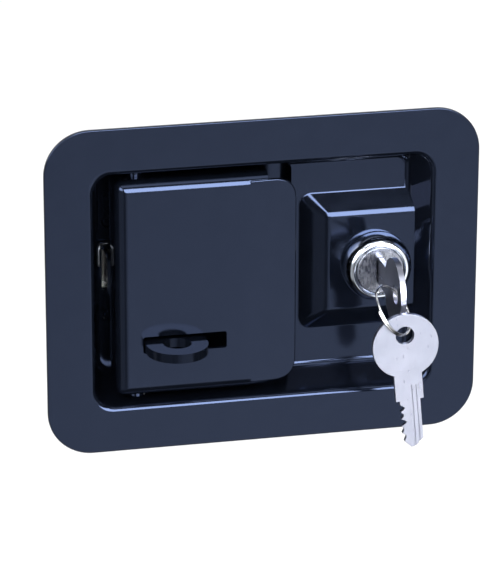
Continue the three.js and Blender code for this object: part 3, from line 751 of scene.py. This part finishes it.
def make_housing():
    low, high = node_box("bolt_housing")
    left, right, foot, top, ear = low[0], high[0], low[1], high[1], high[2]
    inner, outer = HOUSING_INNER, HOUSING_INNER + SHEET
    outline = [(foot, -ear), (foot, -inner), (top - SHEET, -inner), (top - SHEET, inner)]
    outline += [(foot, inner), (foot, ear), (foot + SHEET, ear), (foot + SHEET, outer)]
    outline += [(top, outer), (top, -outer), (foot + SHEET, -outer), (foot + SHEET, -ear)]
    radii = [0, 1.6, 0.5, 0.5, 1.6, 0, 0, 0.4, 2.0, 2.0, 0.4, 0]
    housing = prism("housing", softened(outline, radii), "x", left, right)
    wall = block(right - SHEET, right, 25.5, top - 0.4, -inner - 0.5, inner + 0.5)
    housing = joined(housing, wall)
    for x, z in HOUSING_RIVETS:
        housing = cut(housing, prism("rivet_hole", circle(x, z, RIVET + GAP, 32), "y", 15, 30))
    riding(edged(housing, 0.2, 2, 40), "bolt_housing")


# ---- springs ---------------------------------------------------------------------------------


def smooth_line(points, per_span=8):
    """A Catmull-Rom line through points."""
    line = [np.array(p, float) for p in points]
    line = [2 * line[0] - line[1]] + line + [2 * line[-1] - line[-2]]
    result = []
    for a, b, c, d in zip(line, line[1:], line[2:], line[3:]):
        for i in range(per_span):
            t = i / per_span
            curve = 2 * b + (c - a) * t + (2 * a - 5 * b + 4 * c - d) * t**2
            result.append((curve + (3 * b - a - 3 * c + d) * t**3) / 2)
    return result + [line[-2]]


def make_paddle_spring():
    """A coil on the pivot pin: one leg under the paddle, one along the well's floor."""
    radius, gauge, turns, low, pitch = 4.3, 0.7, 5, 10.0, 1.75
    top = low + turns * pitch
    floor = WELL_FLOOR - gauge - GAP
    under = FRONT + SHEET + 1.2
    points = [(PIVOT.x + 15, under, top), (PIVOT.x + 11.5, under + 0.4, top)]
    points += [(PIVOT.x + 8, PIVOT.y - radius + 0.7, top)]
    per_turn = 16
    for step in range(turns * per_turn + per_turn // 2 + 2):
        angle = -math.pi / 2 - step / per_turn * 2 * math.pi
        drop = min(step, turns * per_turn) / per_turn * pitch
        x, y = PIVOT.x + radius * math.cos(angle), PIVOT.y + radius * math.sin(angle)
        points.append((x, y, top - drop))
    points += [(PIVOT.x + 4.6, 15, low - 0.6), (PIVOT.x + 3.6, floor - 0.6, low - 0.8)]
    points += [(PIVOT.x + 1.4, floor, low - 0.9), (PIVOT.x - 7.4, floor, low - 1)]
    points += [(PIVOT.x - 9.2, floor - 1.2, low - 1.6), (PIVOT.x - 9.5, floor - 1.4, low - 3.5)]
    points.append((PIVOT.x - 9.5, floor - 1.4, low - 7.5))
    spring = place_piece(wire("spring", smooth_line(points, 4), gauge), "paddle_spring", 60)
    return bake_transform(spring)


def make_bolt_spring():
    low, high = node_box("bolt_spring")
    gauge, turns = 0.5, 11
    radius, y = (high[1] - low[1]) / 2 - gauge, (low[1] + high[1]) / 2
    start, end = low[0] + gauge, high[0] - gauge
    # A little over one turn at each end lies closed, `flat` long.
    closed, flat = 1.2 / turns, 2.1 * gauge
    points = []
    steps = turns * 20
    for i in range(steps + 1):
        t = i / steps
        if t < closed:
            along = t / closed * flat
        elif t > 1 - closed:
            along = (end - start) - (1 - t) / closed * flat
        else:
            free = (t - closed) / (1 - 2 * closed)
            along = flat + free * (end - start - 2 * flat)
        angle = t * turns * 2 * math.pi
        points.append((start + along, y + radius * math.cos(angle), radius * math.sin(angle)))
    spring = riding(wire("spring", points, gauge), "bolt_spring", angle=60)
    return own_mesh(spring)


# ---- lock ------------------------------------------------------------------------------------


def make_lock_body():
    front, end, seat = BODY_LOW[1], BODY_HIGH[1], BOSS_FACE - GAP
    profile = [(PLUG_FACE + GAP, front + 0.35), (PLUG_FACE + GAP + 0.3, front)]
    for t in range(13):
        angle = t / 12 * math.pi / 2
        radius = RIM + 0.3 + (BEZEL - RIM - 0.3) * math.sin(angle)
        profile.append((radius, seat - 0.5 - (seat - 0.5 - front) * math.cos(angle)))
    profile += [(BEZEL, seat - 0.2), (BEZEL - 0.2, seat), (BARREL, seat), (BARREL, BOSS_FACE + 1)]
    y, pitch = BOSS_FACE + 1.2, 1.05
    while y < end - 1.2:
        profile += [(BARREL - 0.5, y + 0.45), (BARREL - 0.5, y + 0.55), (BARREL, y + 0.95)]
        profile.append((BARREL, y + pitch))
        y += pitch
    profile += [(BARREL - 0.6, end), (PLUG_BODY + GAP, end)]
    profile += [(PLUG_BODY + GAP, PLUG_SHOULDER + GAP), (PLUG_FACE + GAP, PLUG_SHOULDER + GAP)]
    return riding(turned("lock_body", profile, (LOCK.x, LOCK.z), segments=128), "lock_body")


def make_lock_plug():
    front, end = PLUG_LOW[1], PLUG_HIGH[1]
    barrel_end, groove = BODY_HIGH[1], PLUG_GROOVE
    profile = [(0, front), (groove - 0.25, front), (groove - 0.2, front + 0.3)]
    profile += [(groove + 0.1, front + 0.3), (groove + 0.15, front), (PLUG_FACE - 0.35, front)]
    profile += [(PLUG_FACE, front + 0.35), (PLUG_FACE, PLUG_SHOULDER), (PLUG_BODY, PLUG_SHOULDER)]
    profile += [(PLUG_BODY, barrel_end), (0, barrel_end)]
    plug = turned("plug", profile, (0, 0), segments=96)
    half = PLUG_HALF
    plug = joined(plug, block(-half, half, barrel_end - 1, end, -half, half))
    keyway = rectangle(-KEYWAY_HALF, KEYWAY_HALF, -KEYWAY_REACH, KEYWAY_REACH, 0.4, 4)
    plug = cut(
        plug,
        prism("keyway", keyway, "y", 0, KEYWAY_END),
        prism("screw_hole", circle(0, 0, SCREW_HOLE, 40), "y", SCREW_HOLE_START, end + 1),
    )
    for i in range(1, 6):
        low, high = node_box(f"wafer_{i}")
        width = (high[0] - low[0]) / 2 + GAP
        plug = cut(plug, block(-width, width, low[1] - GAP, high[1] + GAP, -8, 8))
    plug.data.transform(Matrix.Translation((LOCK.x * MM, 0, LOCK.z * MM)))
    return riding(plug, "lock_plug", angle=30, finish=satin_chrome())


def make_lock_rear():
    x, z = LOCK.x, LOCK.z
    low, high = node_box("lock_nut")
    reach = NUT_REACH / math.cos(math.pi / 6)
    hexagon = [
        (x + reach * math.cos(i * math.pi / 3), z + reach * math.sin(i * math.pi / 3))
        for i in range(6)
    ]
    start, end = low[1], high[1]
    bore, chamfer = BARREL + GAP, NUT_ROUND - 1.5
    round_profile = [(bore, start + 0.4), (bore + 0.4, start), (chamfer, start)]
    round_profile += [(NUT_ROUND, start + 0.8), (NUT_ROUND, end - 0.8), (chamfer, end)]
    round_profile += [(bore + 0.4, end), (bore, end - 0.4)]
    nut = prism("nut", hexagon, "y", start - 0.5, end + 0.5)
    nut = combined(nut, "INTERSECT", [turned("round", round_profile, (x, z))])
    riding(edged(nut, 0.15, 2, 25), "lock_nut")

    low, high = node_box("lock_cam")
    half = PLUG_HALF + GAP
    arm = rectangle(low[0], x + 8, z - 5.5, z + 5.5, 4, 12)
    cam = joined(
        prism("cam", arm, "y", low[1], high[1]),
        prism("hub", circle(x, z, 8, 72), "y", low[1], high[1]),
    )
    cam = cut(cam, block(x - half, x + half, 20, 30, z - half, z + half))
    riding(edged(cam, 0.25, 3, 40), "lock_cam")

    low, high = node_box("cam_screw")
    head, shank, width = PLUG_HIGH[1] + GAP, 1.9, 5.2
    profile = [(0, low[1]), (shank - 0.3, low[1]), (shank, low[1] + 0.3), (shank, head)]
    profile += [(width - 0.2, head), (width, head + 0.2), (width, head + 1.4)]
    for t in range(1, 8):
        angle = t / 7 * math.pi / 2
        profile.append((width * math.cos(angle) ** 0.6, head + 1.4 + math.sin(angle)))
    profile[-1] = (0, high[1])
    screw = turned("screw", profile, (x, z), segments=56)
    slot = block(x - 0.6, x + 0.6, head + 1.2, head + 4, z - 6, z + 6)
    riding(cut(screw, slot), "cam_screw")


# ---- keys and ring ---------------------------------------------------------------------------


def key_blank():
    """A key lying flat, its length along X from the middle of the bow, its cuts on the +Y edge."""
    open_angle = math.degrees(math.asin(KEY_SHANK / KEY_BOW))
    outline = arc(0, 0, KEY_BOW, open_angle, 360 - open_angle, 80)
    outline += [(KEY_SHOULDER, -KEY_SHANK), (KEY_SHOULDER, -KEY_BLADE)]
    outline += [(KEY_TIP - 2.6, -KEY_BLADE), (KEY_TIP, -0.7), (KEY_TIP, 0.7)]
    outline.append((KEY_TIP - 2.2, KEY_BLADE - 0.6))
    for index, depth in enumerate(KEY_CUTS):
        x = KEY_TIP - 3.6 - index * CUT_SPACING
        outline += [(x, KEY_BLADE - depth), (x - 0.6, KEY_BLADE - depth)]
        outline.append((x - CUT_SPACING / 2 - 0.3, KEY_BLADE - 0.1))
    outline += [(KEY_SHOULDER, KEY_BLADE), (KEY_SHOULDER, KEY_SHANK)]
    half = KEY_THICK / 2
    key = prism("key", outline, "z", -half, half)
    key = cut(key, prism("hole", circle(-HOLE_OFFSET, 0, KEY_HOLE, 56), "z", -3, 3))
    for side in (-1, 1):
        face = side * half
        low, high = sorted((face - side * STEP_DEPTH, face + side))
        key = cut(key, prism("step", rectangle(KEY_STEP, 40, -8, 8), "z", low, high))
        low, high = sorted((face - side * (STEP_DEPTH + GROOVE_DEPTH), face + side))
        grooves = [(-2.35, -1.75), (-0.95, -0.35)] if side < 0 else [(0.3, 1.3)]
        for v0, v1 in grooves:
            groove = rectangle(KEY_SHOULDER - 5, 40, v0, v1)
            key = cut(key, prism("groove", groove, "z", low, high))
    return edged(key, 0.16, 2, 40)


def make_keys():
    """One key in the lock, and the spare hanging from the same ring."""
    tilt = math.radians(SPARE_TILT)
    down = Vector((math.sin(tilt), 0, -math.cos(tilt)))
    across = Vector((-math.cos(tilt), 0, -math.sin(tilt)))
    key = key_blank()
    key.data.transform(Matrix.Translation((HOLE_OFFSET * MM, 0, 0)))
    spare = placed("spare", key.data.copy())
    # Each key's length, its width and its thickness point along these.
    places = (
        (key, "key", "ring_swing", (Vector((0, 1, 0)), Vector((0, 0, -1)), Vector((-1, 0, 0)))),
        (spare, "spare_key", "spare_swing", (down, across, Vector((0, 1, 0)))),
    )
    for obj, node, joint, directions in places:
        turn = Matrix(directions).transposed().to_4x4()
        obj.data.transform(Matrix.Translation(joint_point(joint) * MM) @ turn)
        riding(obj, node, angle=30)


def make_ring():
    """A split ring of two turns, which change sides opposite the keys."""
    keyhole, spare_hole = joint_point("ring_swing"), joint_point("spare_swing")
    low, high = node_box("key_ring")
    centre = (Vector(low) + Vector(high)) / 2
    normal = (keyhole - centre).cross(spare_hole - centre).normalized()
    away = (centre - (keyhole + spare_hole) / 2).normalized()
    side = normal.cross(away)
    radius = (keyhole - centre).length
    start, steps = 0.42, 260
    points = []
    for i in range(steps + 1):
        angle = start + (4 * math.pi - 2 * start) * i / steps
        swing = max(-1, min(1, (angle - 2 * math.pi) / RING_CROSSING))
        shift = RING_SPREAD * math.sin(swing * math.pi / 2)
        around = away * math.cos(angle) + side * math.sin(angle)
        points.append(centre + around * radius + normal * shift)
    riding(wire("ring", points, RING_WIRE, 16), "key_ring", angle=60)


# ---- everything ------------------------------------------------------------------------------

make_pan()
make_paddle()
make_eye()
for number, (rivet_x, rivet_z) in enumerate(EYE_RIVETS, 1):
    make_rivet(f"eye_rivet_{number}", rivet_x, rivet_z, 16.9, PAN_HIGH[1], -1)
for number, (rivet_x, rivet_z) in enumerate(HOUSING_RIVETS, 1):
    make_rivet(f"housing_rivet_{number}", rivet_x, rivet_z, WELL_FLOOR, 24.1, 1)
make_pivot()
make_bolt()
make_housing()
make_paddle_spring()
make_bolt_spring()
make_lock_body()
make_lock_plug()
make_lock_rear()
make_keys()
make_ring()

# What stays of the CAD's own nodes: the wafers.
for name, node in frame["nodes"].items():
    if node.hide_render:
        continue
    node.data.materials.clear()
    node.data.materials.append(SLOTS[NODE_SLOT[name]])
    add_bevel(node, 0.08, 2, 40)


# ---- studio ----------------------------------------------------------------------------------

# What the shiny surfaces see around them, as patches in degrees:
# (azimuth from, to, elevation from, to, soft edge, brightness)
ROOM_PATCHES = (
    (-4, 46, -34, 2, 10, 0.76),
    (14, 40, -34, 2, 14, 0.55),
    (-20, 46, -31, -23, 8, 0.30),
    (-70, -34, -30, 4, 12, 0.42),
    (-180, 180, 4, 90, 12, 0.12),
    (-4, 32, 4, 33, 5, 20.0),
    (-66, -34, 10, 36, 8, 10.0),
    (-60, 45, 53, 68, 4, 2.4),
    (110, 250, -60, 90, 20, 0.75),
)
ROOM_DARK, ROOM_RADIUS = 0.015, 6.0
FLOOR_HALF, FLOOR_DEPTH = 5000, 420


def make_floor():
    corners = [(-1, -1), (1, -1), (1, 1), (-1, 1)]
    verts = [(x * FLOOR_HALF, y * FLOOR_HALF, -FLOOR_DEPTH) for x, y in corners]
    floor = mesh_object("floor", verts, [(0, 1, 2, 3)])
    paint = Nodes("floor", Base_Color=(0.9, 0.9, 0.9, 1), Roughness=0.9)
    floor.data.materials.append(paint.material)
    floor.visible_glossy = False


def make_key_light(at, towards, side, power):
    light = bpy.data.lights.new("key_light", "AREA")
    light.shape = "RECTANGLE"
    light.size, light.size_y = side, side
    light.energy = power
    obj = placed("key_light", light)
    obj.location = at
    obj.rotation_euler = (towards - Vector(at)).to_track_quat("-Z", "Y").to_euler()
    obj.visible_glossy = False


def make_camera():
    camera = bpy.data.cameras.new("camera")
    camera.sensor_width = CAMERA_SENSOR
    camera.lens = CAMERA_LENS
    camera.clip_end = 30
    obj = placed("camera", camera)
    back = Vector(CAMERA_BACK).normalized()
    up = back.cross(Vector(CAMERA_RIGHT).normalized()).normalized()
    turn = Matrix((up.cross(back), up, back)).transposed().to_4x4()
    obj.matrix_world = Matrix.Translation(CAMERA_PLACE) @ turn
    bpy.context.scene.camera = obj


def make_room():
    """A shell that glows by direction and is seen in reflections only.

    Each of ROOM_PATCHES is a soft-edged window of azimuth and elevation. Azimuth 0 is straight in
    front and positive to the right; past 180 it stands for both sides of straight behind.
    """
    nodes = Nodes("room")
    tree = nodes.tree
    tree.nodes.remove(nodes.shader)
    place = nodes.add("ShaderNodeNewGeometry")
    split = nodes.add("ShaderNodeSeparateXYZ")
    nodes.link(place.outputs["Incoming"], split.inputs["Vector"])

    def maths(operation, *values):
        node = nodes.add("ShaderNodeMath", operation=operation)
        for socket, value in zip(node.inputs, values):
            if isinstance(value, (int, float)):
                socket.default_value = value
            else:
                nodes.link(value, socket)
        return node.outputs["Value"]

    def window(value, low, high, soft):
        """1 between low and high, falling to 0 over `soft` on both sides."""
        rise = nodes.add("ShaderNodeMapRange", interpolation_type="SMOOTHSTEP")
        fall = nodes.add("ShaderNodeMapRange", interpolation_type="SMOOTHSTEP")
        for node, start, end in ((rise, low - soft, low), (fall, high + soft, high)):
            nodes.link(value, node.inputs["Value"])
            node.inputs["From Min"].default_value = start
            node.inputs["From Max"].default_value = end
        return maths("MULTIPLY", rise.outputs["Result"], fall.outputs["Result"])

    # Incoming points back at the surface that is reflecting, so it is turned round.
    away = [maths("MULTIPLY", split.outputs[axis], -1.0) for axis in "XYZ"]
    elevation = maths("DEGREES", maths("ARCSINE", away[2]))
    azimuth = maths("DEGREES", maths("ARCTAN2", away[0], maths("MULTIPLY", away[1], -1.0)))
    total = ROOM_DARK
    for left, right, low, high, soft, brightness in ROOM_PATCHES:
        patch = window(elevation, low, high, soft)
        if right > 180:
            patch = maths("MULTIPLY", patch, window(maths("ABSOLUTE", azimuth), left, 200, soft))
        elif right - left < 360:
            patch = maths("MULTIPLY", patch, window(azimuth, left, right, soft))
        total = maths("ADD", total, maths("MULTIPLY", patch, brightness))
    glow = nodes.add("ShaderNodeEmission")
    nodes.link(total, glow.inputs["Strength"])
    nodes.link(glow.outputs["Emission"], tree.nodes["Material Output"].inputs["Surface"])

    shell = bpy.data.meshes.new("room")
    grid = bmesh.new()
    bmesh.ops.create_icosphere(grid, subdivisions=4, radius=ROOM_RADIUS)
    grid.to_mesh(shell)
    grid.free()
    obj = placed("room", shell)
    obj.data.materials.append(nodes.material)
    obj.visible_camera = False
    obj.visible_diffuse = False
    obj.visible_shadow = False


def make_world():
    world = bpy.data.worlds.new("studio")
    world.use_nodes = True
    background = world.node_tree.nodes["Background"]
    background.inputs["Color"].default_value = (1, 1, 1, 1)
    background.inputs["Strength"].default_value = 1.08
    bpy.context.scene.world = world
    bpy.context.scene.view_settings.view_transform = "Standard"


make_floor()
make_room()
make_world()
make_key_light(at=(-0.6, -1.2, 1.1), towards=Vector((0, 0, MID_Z * MM)), side=0.9, power=9)
make_camera()
